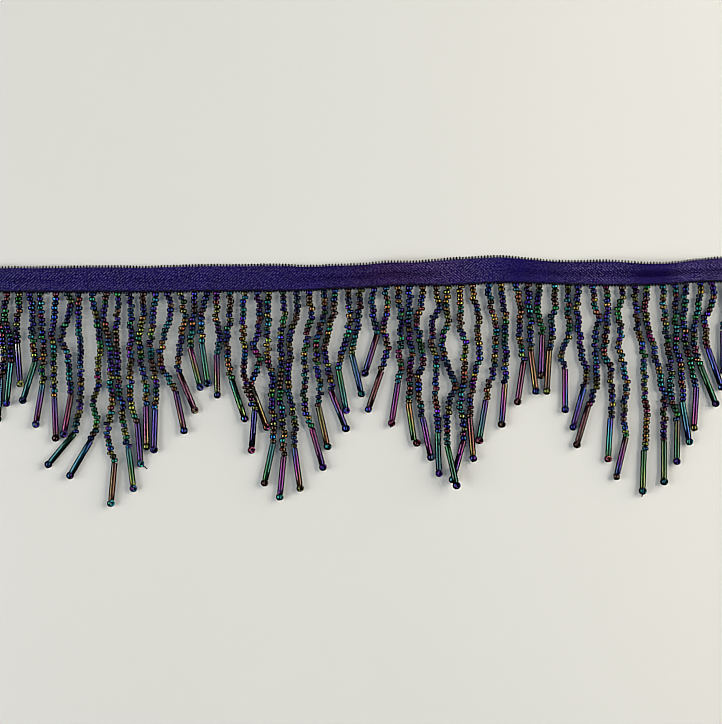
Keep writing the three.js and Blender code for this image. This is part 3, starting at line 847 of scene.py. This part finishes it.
def set_beads(name, beads, model, colours, glow_range, most_roll=2 * math.pi):
    """One joined piece of all these beads, each a copy of the model."""
    piece = point_piece(name, [bead.place for bead in beads])
    rng = random.Random(len(beads))
    turns = []
    for bead in beads:
        roll = Quaternion((0, 0, 1), rng.uniform(0, most_roll))
        turns.extend((bead.hole_way.to_track_quat("Z", "Y") @ roll).to_euler())
    ends = [[getattr(colours, tint) for tint in (bead.tint, bead.foot_tint)] for bead in beads]
    for label, row in (
        ("tint", [top for top, _ in ends]), ("mid_tint", [between_hues(*pair) for pair in ends]),
        ("foot_tint", [foot for _, foot in ends]),
    ):
        shades = []
        for colour in row:
            glow = rng.uniform(*glow_range)
            shades.extend((*(glow * value for value in colour), 1.0))
        note_values(piece, label, "FLOAT_COLOR", shades)
    note_values(piece, "draw", "FLOAT", [rng.random() for _ in beads])
    sizes = [value for bead in beads for value in (bead.width, bead.width, bead.length)]
    set_copies(piece, turns, sizes, model)
    return piece


def thread_piece(name, paths, diameter, material_name, colour):
    """One piece of round thread along all these paths."""
    points = []
    edges = []
    for path in paths:
        edges.extend((len(points) + k, len(points) + k + 1) for k in range(len(path) - 1))
        points.extend(path)
    piece = point_piece(name, points, edges)
    apply_nodes(piece, shared("Thread on lines", thread_tree), Radius=diameter / 2)
    finish_piece(piece, yarn_material(material_name, colour, THREAD_TURNS), ("fringe",))


def finish_piece(piece, material, nodes):
    """Gives a piece its material and its place in the frame."""
    piece.data.materials.clear()
    piece.data.materials.append(material)
    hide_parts(*nodes)
    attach(piece, "root")


def drop_model(model):
    mesh = model.data
    bpy.data.objects.remove(model)
    bpy.data.meshes.remove(mesh)


def new_material(name):
    """A material with only its Principled shader: returns the material, its wiring and the shader."""
    material = bpy.data.materials.new(name)
    material.use_nodes = True
    net = Wiring(material.node_tree)
    return material, net, net.nodes["Principled BSDF"]


def coat_group(name):
    """The beads' oil-like metallic coat: its hue drifts and its depth clouds over each bead."""
    net, given, made = new_group(
        name, "ShaderNodeTree",
        {"Tint": "Color", "Vector": "Vector", "Grain": "Float", "Drift": "Float", "Clouding": "Float"},
        {"Colour": "Color", "Worn": "Float"},
    )
    drift = net.noise(given["Vector"], given["Grain"], detail=1.0)
    cloud = net.noise(given["Vector"], net.math("MULTIPLY", given["Grain"], 2.3), detail=3.0)
    swing = net.math("MULTIPLY", net.math("SUBTRACT", drift, 0.5), given["Drift"])
    depth = net.math("MULTIPLY", net.math("SUBTRACT", cloud, 0.5), given["Clouding"])
    turned = net.add(
        "ShaderNodeHueSaturation", Color=given["Tint"], Hue=net.math("ADD", swing, 0.5),
        Value=net.math("ADD", depth, 1.0),
    )
    net.join(turned.outputs["Color"], made["Colour"])
    net.join(net.ramp(cloud, (0.45, 0.0), (0.7, 1.0)), made["Worn"])
    return net.tree


def coat_on(net, tint, vector, grain, drift, clouding):
    """The coat, placed in a material with that material's own values."""
    tree = shared("Iridescent coat", coat_group)
    return net.group(tree, Tint=tint, Vector=vector, Grain=grain, Drift=drift, Clouding=clouding)


def glass_shine(net, shader, colour, worn, gloss):
    """A metallic coat under a clear outer layer, which mirrors more the higher its index is."""
    net.set(
        shader, Base_Color=colour, Roughness=net.math("ADD", net.math("MULTIPLY", worn, 0.08), 0.12),
        Metallic=1.0, Coat_Weight=1.0, Coat_Roughness=0.05, Coat_IOR=gloss,
    )


def bead_glass(name, shaded_end_share):
    """Short beads: the coat in the bead's own colour, darkened towards its ends about the hole as painted
    shade, down to the share given.
    """
    material, net, shader = new_material(name)
    place = net.add("ShaderNodeTexCoord").outputs["Object"]
    coat = coat_on(net, net.attribute("tint", "Color"), place, 800.0, 0.45, 1.1)
    # Painted shade: the coat darkens towards the bead's ends, where beads meet
    height = net.math("ABSOLUTE", net.split(net.attribute("own_place", "Vector"))["Z"])
    rim = net.math("DIVIDE", height, HALF_BEAD)
    shade = net.ramp(rim, (0.5, 1.0), (0.9, shaded_end_share))
    colour = net.mix(1.0, coat["Colour"], shade, "MULTIPLY")
    glass_shine(net, shader, colour, coat["Worn"], BEAD_GLOSS)
    return material


def bugle_glass():
    """Bugle beads: three colours that run into each other, in fine stripes along the tube."""
    material, net, shader = new_material("Coated bugle glass")
    own = net.attribute("own_place", "Vector")
    draw = net.attribute("draw", "Fac")
    aside = net.add("ShaderNodeCombineXYZ", X=net.math("MULTIPLY", draw, 0.5))
    moved = net.nodes.new("ShaderNodeVectorMath")
    net.join(own, moved.inputs[0])
    net.join(aside.outputs[0], moved.inputs[1])
    drawn, dashes = (
        net.add("ShaderNodeMapping", Vector=moved.outputs[0], Scale=(1.0, 1.0, share)).outputs[0]
        for share in (0.03, 0.22)
    )
    place = net.split(own)
    wave = net.math("MULTIPLY", net.math("SUBTRACT", net.noise(drawn, 1500.0), 0.5), 0.7)
    turn = net.math("MULTIPLY", net.math("SUBTRACT", draw, 0.5), 0.9)
    across = net.math("MULTIPLY", net.math("DIVIDE", place["X"], MM), turn)
    down = net.math("ADD", net.math("DIVIDE", place["Z"], BUGLE_FOOT), 0.5)
    fallen = net.math("ADD", down, net.math("ADD", wave, across))
    tint = net.attribute("tint", "Color")
    for label, start, end in (("mid_tint", 0.1, 0.45), ("foot_tint", 0.55, 0.9)):
        share = net.ramp(fallen, (start, 0.0), (end, 1.0))
        tint = net.mix(share, tint, net.attribute(label, "Color"))
    striped = coat_on(net, tint, drawn, 1900.0, 0.3, 0.8)
    dashed = coat_on(net, striped["Colour"], dashes, 1300.0, 0.12, 0.7)
    glass_shine(net, shader, dashed["Colour"], striped["Worn"], BUGLE_GLOSS)
    return material


def yarn_group(name):
    """Twisted thread: light and dark strands that turn about it, the light ones a painted highlight, as a
    colour share and a height.
    """
    net, given, made = new_group(
        name, "ShaderNodeTree", {"Vector": "Vector", "Turns": "Float"}, {"Share": "Float", "Height": "Float"}
    )
    wave = net.add("ShaderNodeTexWave", Distortion=1.5, Vector=given["Vector"], Scale=given["Turns"])
    wave.bands_direction = "DIAGONAL"
    fuzz = net.noise(given["Vector"], net.math("MULTIPLY", given["Turns"], 2.0))
    net.join(net.math("MULTIPLY", wave.outputs["Fac"], fuzz), made["Share"])
    net.join(wave.outputs["Fac"], made["Height"])
    return net.tree


def raise_weave(net, shader, height, strength):
    """Lets a weave's or a twist's height catch the light."""
    bump = net.add("ShaderNodeBump", Strength=strength, Distance=WEAVE_DEPTH, Height=height)
    net.join(bump.outputs["Normal"], shader.inputs["Normal"])


def yarn_material(name, colour, turns):
    """Dark twisted thread, matt, with a little painted highlight on each turn."""
    material, net, shader = new_material(name)
    place = net.add("ShaderNodeTexCoord").outputs["Object"]
    yarn = net.group(shared("Twisted yarn", yarn_group), Turns=turns, Vector=place)
    # Painted highlight: the thread's colour, three times as light, on each turn
    light = tuple(min(3 * value, 1.0) for value in colour)
    twist = net.mix(yarn["Share"], tuple(colour), light)
    raise_weave(net, shader, yarn["Height"], 0.5)
    net.set(shader, Base_Color=twist, Roughness=0.7, Specular_IOR_Level=0.1)
    return material


def twill_group(name):
    """Fine slanting lines of a satin's face, broken into short floats, as a share and a height."""
    net, given, made = new_group(
        name, "ShaderNodeTree", {"Vector": "Vector", "Slant": "Float", "Lines": "Float"},
        {"Share": "Float", "Height": "Float"},
    )
    place = net.split(given["Vector"])
    across = net.math("ADD", place["X"], net.math("MULTIPLY", place["Y"], given["Slant"]))
    wave = net.math("SINE", net.math("MULTIPLY", across, given["Lines"]))
    raised = net.math("ADD", net.math("MULTIPLY", wave, 0.5), 0.5)
    broken = net.ramp(net.noise(given["Vector"], 1500.0, detail=1.0), (0.4, 0.0), (0.64, 1.0))
    net.join(net.math("MULTIPLY", net.math("POWER", raised, 1.6), broken), made["Share"])
    net.join(raised, made["Height"])
    return net.tree


def satin_material(colours):
    """Dark satin with fine twill lines, in painted sheen, that rise to the right on the left and fall to it
    at the far end.
    """
    material, net, shader = new_material("Satin ribbon")
    cloth = net.nodes.new("ShaderNodeUVMap")
    cloth.uv_map = "flat"
    flat = cloth.outputs["UV"]
    spot = net.split(flat)
    place = net.math("DIVIDE", spot["X"], 2 * RIBBON_END)
    rising, falling = (
        net.group(shared("Satin twill", twill_group), Slant=slant, Lines=2 * math.pi / pitch, Vector=flat)
        for slant, pitch in ((-1.15, 1.2 * MM), (1.15, 1.15 * MM))
    )
    patches = net.noise(flat, 160.0)
    way = net.ramp(place, (0.0, 0.0), (0.4, 0.1), (0.55, 0.62), (0.65, 0.5), (0.9, 0.9), (1.0, 1.0))
    way = net.math("ADD", way, net.math("SUBTRACT", patches, 0.5))
    way = net.ramp(way, (0.35, 0.0), (0.65, 1.0))
    lines = net.mix(way, rising["Share"], falling["Share"])
    # Painted sheen: how strongly the lighter twill lines show along the ribbon, more where it catches the
    # light
    painted_sheen_strength = net.ramp(
        place, (0.0, 0.75), (0.1, 0.65), (0.3, 0.55), (0.45, 0.45), (0.53, 0.5), (0.59, 0.8), (0.66, 0.75),
        (0.71, 0.15), (0.76, 0.5), (0.8, 0.9), (0.85, 0.8), (0.875, 0.15), (0.905, 0.15), (0.93, 1.0),
        (1.0, 0.9),
    )
    share = net.mix(1.0, lines, painted_sheen_strength, "MULTIPLY")
    # Painted shade: the purple tint, strongest a little right of the ribbon's middle, stands for the shade
    # along its swell there
    purple = net.ramp(
        place, (0.0, 0.0), (0.45, 0.15), (0.54, 0.8), (0.62, 0.5), (0.68, 0.0), (0.8, 0.3), (0.9, 0.2),
        (1.0, 0.5),
    )
    body = net.mix(purple, tuple(colours.satin), (0.02, 0.003, 0.038))
    body = net.mix(1.0, body, net.ramp(patches, (0.3, 0.75), (0.7, 1.2)), "MULTIPLY")
    rows = net.math("DIVIDE", spot["Y"], CLOTH_WIDTH)
    band = EDGE_BAND / CLOTH_WIDTH
    # Painted highlight: a lighter band of the twill colour just inside the free edge, between the loops
    free_edge_highlight = net.ramp(rows, (1 - band, 0.0), (1 - 0.6 * band, 0.8))
    woven = net.mix(net.math("MAXIMUM", share, free_edge_highlight), body, tuple(colours.twill))
    edges = net.ramp(rows, (0.0, 0.25), (band, 0.4), (1.5 * band, 1.0), (1.0, 1.0))
    raise_weave(net, shader, net.mix(way, rising["Height"], falling["Height"]), 0.35)
    net.set(
        shader, Base_Color=net.mix(1.0, woven, edges, "MULTIPLY"), Roughness=0.5,
        Specular_IOR_Level=0.12, Specular_Tint=(0.6, 0.5, 1.0),
    )
    return material


class BEAD_FRINGE_OT_stage(bpy.types.Operator):
    """Add the table, the two window-like lights, the sky and the camera straight above"""

    bl_idname = "bead_fringe.stage"
    bl_label = "Stage"
    bl_options = {"REGISTER", "UNDO"}

    def execute(self, context):
        scene = context.scene
        look = scene.bead_fringe_stage
        middle = Vector((0, look.view_middle, 0))
        deselect()
        bpy.ops.mesh.primitive_plane_add(size=TABLE_WIDTH, location=middle - Vector((0, 0, TABLE_GAP)))
        table = named("table")
        table.data.materials.append(table_material(look.table))
        table.visible_glossy = False
        for side, way, size, power, colour in (
            ("right", (0.82, 0.22, 0.44), 0.9, look.right_power, (1.0, 0.97, 0.9)),
            ("left", (-0.94, -0.2, 0.54), 0.8, look.left_power, (0.95, 0.98, 1.0)),
        ):
            window = add_light(f"{side} window", middle, way, (size, size), power, colour)
            window.visible_glossy = False
            nearer = Vector((PANE_NEARNESS * way[0], 0, PANE_HEIGHT))
            pane_power = look.pane_power * PANE_SIZE[0] * PANE_SIZE[1]
            pane = add_light(f"{side} pane", middle, nearer, PANE_SIZE, pane_power, colour)
            pane.visible_diffuse = False
        sky(scene)
        bpy.ops.object.camera_add(rotation=(0, 0, 0))
        camera = bpy.context.active_object
        camera.name = "camera"
        camera.data.lens = look.lens
        camera.data.clip_start = 0.05
        height = look.view_height * look.lens / camera.data.sensor_width + SHARP_LEVEL
        camera.location = (0, look.view_middle, height)
        scene.camera = camera
        scene.view_settings.view_transform = "Standard"
        sharpen(scene, look.sharpness)
        return {"FINISHED"}


def sharpen(scene, share):
    """The light sharpening that a phone's camera gives its pictures."""
    scene.use_nodes = True
    nodes = scene.node_tree.nodes
    nodes.clear()
    layers = nodes.new("CompositorNodeRLayers")
    crisp = nodes.new("CompositorNodeFilter")
    crisp.filter_type = "SHARPEN"
    crisp.inputs["Fac"].default_value = share
    shown, linear = (nodes.new("CompositorNodeGamma") for _ in range(2))
    shown.inputs["Gamma"].default_value = 1 / SCREEN_GAMMA
    linear.inputs["Gamma"].default_value = SCREEN_GAMMA
    picture = nodes.new("CompositorNodeComposite")
    join = scene.node_tree.links.new
    join(layers.outputs["Image"], shown.inputs["Image"])
    join(shown.outputs["Image"], crisp.inputs["Image"])
    join(crisp.outputs["Image"], linear.inputs["Image"])
    join(linear.outputs["Image"], picture.inputs["Image"])


def table_material(colour):
    """A smooth pale table top, very slightly clouded."""
    material, net, shader = new_material("Pale table")
    clouds = net.noise(net.add("ShaderNodeTexCoord").outputs["Object"], 9.0)
    darker = tuple(0.97 * value for value in colour)
    net.set(
        shader, Base_Color=net.mix(clouds, tuple(colour), darker), Roughness=0.6, Specular_IOR_Level=0.2
    )
    return material


def add_light(name, target, way, size, power, colour):
    """An area light, so long and so high, that looks at the target from the given way."""
    data = bpy.data.lights.new(name, "AREA")
    data.shape = "RECTANGLE"
    data.size, data.size_y = size
    data.energy = power
    data.color = colour
    lamp = bpy.data.objects.new(name, data)
    bpy.context.collection.objects.link(lamp)
    lamp.location = target + Vector(way)
    lamp.rotation_euler = Vector(way).to_track_quat("Z", "Y").to_euler()
    return lamp


def sky(scene):
    """Soft bluish light from straight above, and the dim room above the table that the beads mirror."""
    world = bpy.data.worlds.new("Soft sky")
    scene.world = world
    world.use_nodes = True
    net = Wiring(world.node_tree)
    height = net.split(net.add("ShaderNodeTexCoord").outputs["Generated"])["Z"]
    light = net.ramp(
        height, (0.0, 0.0), (0.45, (0.02, 0.03, 0.04)), (0.8, (0.09, 0.12, 0.16)), (1.0, (0.26, 0.33, 0.42))
    )
    room = net.ramp(height, (0.0, 0.0), (0.25, 0.015), (0.55, 0.1), (1.0, 0.25))
    mirrored = net.add("ShaderNodeLightPath").outputs["Is Glossy Ray"]
    net.set(net.nodes["Background"], Color=net.mix(mirrored, light, room))


def values_of(context):
    """The scene's own sizes and colours."""
    return context.scene.bead_fringe_sizes, context.scene.bead_fringe_colours


class BEAD_FRINGE_OT_satin_ribbon(bpy.types.Operator):
    """Add the satin ribbon as one thin sheet that lies in the folds of the real one"""

    bl_idname = "bead_fringe.satin_ribbon"
    bl_label = "Satin ribbon"
    bl_options = {"REGISTER", "UNDO"}

    def execute(self, context):
        sizes, colours = values_of(context)
        columns = round(2 * RIBBON_END / GRID_STEP)
        deselect()
        bpy.ops.mesh.primitive_grid_add(x_subdivisions=columns, y_subdivisions=ROWS_ACROSS, size=1.0)
        ribbon = named("satin_ribbon")
        mesh = ribbon.data
        woven = CLOTH_WIDTH - 2 * PICOT_REACH
        for corner in mesh.uv_layers.active.data:
            corner.uv = (corner.uv.x * 2 * RIBBON_END, PICOT_REACH + corner.uv.y * woven)
        mesh.uv_layers.active.name = "flat"
        half = sizes.cloth_thickness / 2
        for vertex in mesh.vertices:
            x = vertex.co.x * 2 * RIBBON_END
            across = PICOT_REACH + (vertex.co.y + 0.5) * woven
            point = ribbon_point(x, across)
            point.z = max(point.z - crease_depth(point) + pucker(x, across), 0.0) + half
            vertex.co = point
        thick = ribbon.modifiers.new("thickness", "SOLIDIFY")
        thick.thickness = sizes.cloth_thickness
        thick.offset = 0.0
        bpy.ops.object.modifier_apply(modifier=thick.name)
        bpy.ops.object.shade_smooth_by_angle(angle=math.radians(40))
        finish_piece(ribbon, satin_material(colours), ("ribbon",))
        return {"FINISHED"}


def pucker(x, across):
    """The cloth's small unevenness: it rises between the strand roots, and waves a little further up."""
    roots = [MM * row.root for row in STRANDS]
    nearest = min(abs(x - root) for root in roots)
    rise = min(nearest / PUCKER_RISE, 1.0)
    fade = math.exp(-across / PUCKER_REACH)
    short, long = WAVE_LENGTHS
    wave = 0.5 + 0.5 * math.sin(x / short) * math.sin(x / long + 1)
    return PUCKER * rise * fade + WAVE_HEIGHT * wave * min(across / CLOTH_WIDTH, 1.0)


class BEAD_FRINGE_OT_selvedges(bpy.types.Operator):
    """Add the rows of small thread loops along both woven edges of the ribbon"""

    bl_idname = "bead_fringe.selvedges"
    bl_label = "Woven edges"
    bl_options = {"REGISTER", "UNDO"}

    def execute(self, context):
        sizes, colours = values_of(context)
        rng = random.Random(5)
        deselect()
        bpy.ops.mesh.primitive_torus_add(
            major_segments=12, minor_segments=5,
            major_radius=sizes.picot_size / 2, minor_radius=sizes.picot_size / PICOT_SLIMNESS,
        )
        model = named("picot model")
        bpy.ops.object.mode_set(mode="EDIT")
        bpy.ops.mesh.select_all(action="SELECT")
        bpy.ops.transform.resize(value=(PICOT_FLATNESS, 1.0, 1.0), center_override=(0, 0, 0))
        bpy.ops.object.mode_set(mode="OBJECT")
        bpy.ops.object.shade_smooth()
        loops = []
        for across, heading in ((PICOT_REACH, math.pi), (CLOTH_WIDTH - FREE_TUCK * PICOT_REACH, 0.0)):
            for k in range(int(2 * RIBBON_END / PICOT_PITCH)):
                x = -RIBBON_END + (k + 0.5) * PICOT_PITCH
                place = ribbon_point(x, across)
                place.z += sizes.cloth_thickness + pucker(x, across)
                loops.append((place, heading + rng.uniform(-0.2, 0.2), rng.uniform(0.85, 1.15)))
        piece = point_piece("selvedge_picots", [place for place, _, _ in loops])
        turns = [value for _, heading, _ in loops for value in (0.0, 0.0, heading)]
        set_copies(piece, turns, [size for _, _, size in loops for _ in range(3)], model)
        drop_model(model)
        material = yarn_material("Woven edge thread", colours.thread, PICOT_TURNS)
        finish_piece(piece, material, ("ribbon",))
        return {"FINISHED"}


class BEAD_FRINGE_OT_seed_beads(bpy.types.Operator):
    """Add the seed beads of every strand, one joined piece for each scallop"""

    bl_idname = "bead_fringe.seed_beads"
    bl_label = "Seed beads"
    bl_options = {"REGISTER", "UNDO"}

    def execute(self, context):
        sizes, colours = values_of(context)
        beads = [bead for index in range(len(STRANDS)) for bead in strung_seeds(index, sizes)]
        beads = eased_apart(beads, sizes)
        length = sizes.seed_length
        model = spun_bead("seed bead model", sizes.seed_diameter, sizes.seed_hole, length, SEED_SIDES)
        keep_own_place(model)
        material = bead_glass("Coated seed glass", SEED_SHADED_END_SHARE)
        for k, (first, past) in enumerate(zip(SCALLOP_STARTS, SCALLOP_STARTS[1:])):
            scallop = [bead for bead in beads if first <= bead.strand < past]
            piece = set_beads(f"seed_beads_{k + 1}", scallop, model, colours, SEED_GLOW)
            finish_piece(piece, material, ("fringe",))
        drop_model(model)
        return {"FINISHED"}


class BEAD_FRINGE_OT_bugle_beads(bpy.types.Operator):
    """Add the long bugle bead at the foot of every strand"""

    bl_idname = "bead_fringe.bugle_beads"
    bl_label = "Bugle beads"
    bl_options = {"REGISTER", "UNDO"}

    def execute(self, context):
        sizes, colours = values_of(context)
        length = BUGLE_FOOT - BUGLE_START
        model = spun_tube("bugle model", sizes.bugle_diameter, sizes.bugle_hole, length, BUGLE_SIDES)
        keep_own_place(model)
        piece = set_beads("bugle_beads", hung_bugles(sizes), model, colours, BUGLE_GLOW, most_roll=0)
        drop_model(model)
        finish_piece(piece, bugle_glass(), ("fringe",))
        return {"FINISHED"}


class BEAD_FRINGE_OT_end_beads(bpy.types.Operator):
    """Add the bead below each bugle, turned on its side, which the thread goes round"""

    bl_idname = "bead_fringe.end_beads"
    bl_label = "End beads"
    bl_options = {"REGISTER", "UNDO"}

    def execute(self, context):
        sizes, colours = values_of(context)
        length = END_LENGTH * sizes.seed_length
        model = spun_bead("end bead model", sizes.end_diameter, sizes.seed_hole, length, END_SIDES)
        keep_own_place(model)
        piece = set_beads("end_beads", hung_end_beads(sizes), model, colours, END_GLOW)
        drop_model(model)
        material = bead_glass("Coated end glass", END_BEAD_SHADED_END_SHARE)
        finish_piece(piece, material, ("fringe",))
        return {"FINISHED"}


class BEAD_FRINGE_OT_strand_threads(bpy.types.Operator):
    """Add the thread of every strand, from its stitch in the ribbon to its end bead and any loose tail"""

    bl_idname = "bead_fringe.strand_threads"
    bl_label = "Threads"
    bl_options = {"REGISTER", "UNDO"}

    def execute(self, context):
        sizes, colours = values_of(context)
        paths = [thread_path(row, line, sizes) for row, line in zip(STRANDS, LINES)]
        thread_piece("strand_threads", paths, sizes.thread_diameter, "Beading thread", colours.thread)
        return {"FINISHED"}


class BEAD_FRINGE_OT_root_stitches(bpy.types.Operator):
    """Add the short stitches over the ribbon's edge that hold every strand"""

    bl_idname = "bead_fringe.root_stitches"
    bl_label = "Root stitches"
    bl_options = {"REGISTER", "UNDO"}

    def execute(self, context):
        sizes, colours = values_of(context)
        rng = random.Random(31)
        paths = [stitch_path(MM * (row.root + spot), sizes, rng) for row in STRANDS for spot in STITCH_SPOTS]
        thread_piece("root_stitches", paths, sizes.stitch_diameter, "Stitching thread", colours.thread)
        return {"FINISHED"}


def stitch_path(x, sizes, rng):
    """One stitch's points: up through the cloth at its sewn edge, over it and down again."""
    x += rng.uniform(-STITCH_STRAY, STITCH_STRAY)
    reach = rng.uniform(*STITCH_REACH)
    lean = rng.uniform(-STITCH_LEAN, STITCH_LEAN)
    path = []
    for across, part, sunk in (
        (0.1 * MM, 0.0, 1.4), (0.25 * MM, 0.1, 0), (reach, 1.0, 0), (reach, 1.1, 1.4),
    ):
        point = ribbon_point(x + part * lean, across)
        top = sizes.cloth_thickness + pucker(point.x, across)
        path.append(point + Vector((0, 0, top + (0.5 - sunk) * sizes.stitch_diameter / 2)))
    return path


def thread_path(row, line, sizes):
    """The thread's points: out of the ribbon's edge, then through every bead."""
    radius = sizes.thread_diameter / 2
    path = [line.seed_point(0.0) + Vector((0, 0, sizes.cloth_thickness / 2))]
    middle = Vector((0, 0, sizes.seed_diameter / 2))
    for along in np.arange(THREAD_STEP, line.length, THREAD_STEP):
        path.append(line.seed_point(along) + middle)
    low = Vector((0, 0, sizes.bugle_diameter / 2))
    path.append(line.bugle_point(BUGLE_START) + low)
    path.append(line.bugle_point(BUGLE_FOOT) + low)
    foot = line.bugle_point(END_BEAD_PLACE)
    path.append(foot + low)
    for aside, down in row.tail:
        path.append(Vector((foot.x + MM * aside, foot.y - MM * down, foot.z + 1.2 * radius)))
    return path


class BEAD_FRINGE_PT_panel(bpy.types.Panel):
    """Sizes, colours and steps of the beaded fringe trim"""

    bl_label = "Beaded fringe trim"
    bl_idname = "BEAD_FRINGE_PT_panel"
    bl_space_type = "VIEW_3D"
    bl_region_type = "UI"
    bl_category = "Fringe"

    def draw(self, context):
        for name, _ in VALUES:
            values = getattr(context.scene, name)
            box = self.layout.box()
            for label in values.__annotations__:
                box.prop(values, label)
        for step in STEPS:
            self.layout.operator(step.bl_idname)


STEPS = (
    BEAD_FRINGE_OT_stage,
    BEAD_FRINGE_OT_satin_ribbon,
    BEAD_FRINGE_OT_selvedges,
    BEAD_FRINGE_OT_seed_beads,
    BEAD_FRINGE_OT_bugle_beads,
    BEAD_FRINGE_OT_end_beads,
    BEAD_FRINGE_OT_strand_threads,
    BEAD_FRINGE_OT_root_stitches,
)
VALUES = (
    ("bead_fringe_sizes", FringeSizes),
    ("bead_fringe_colours", FringeColours),
    ("bead_fringe_stage", FringeStage),
)


def register():
    for name, group in VALUES:
        bpy.utils.register_class(group)
        setattr(bpy.types.Scene, name, bpy.props.PointerProperty(type=group))
    for step in (*STEPS, BEAD_FRINGE_PT_panel):
        bpy.utils.register_class(step)


def unregister():
    for step in reversed((*STEPS, BEAD_FRINGE_PT_panel)):
        bpy.utils.unregister_class(step)
    for name, group in reversed(VALUES):
        delattr(bpy.types.Scene, name)
        bpy.utils.unregister_class(group)


def main():
    register()
    bpy.ops.bead_fringe.stage()
    bpy.ops.bead_fringe.satin_ribbon()
    bpy.ops.bead_fringe.selvedges()
    bpy.ops.bead_fringe.seed_beads()
    bpy.ops.bead_fringe.bugle_beads()
    bpy.ops.bead_fringe.end_beads()
    bpy.ops.bead_fringe.strand_threads()
    bpy.ops.bead_fringe.root_stitches()


if __name__ == "__main__":
    main()
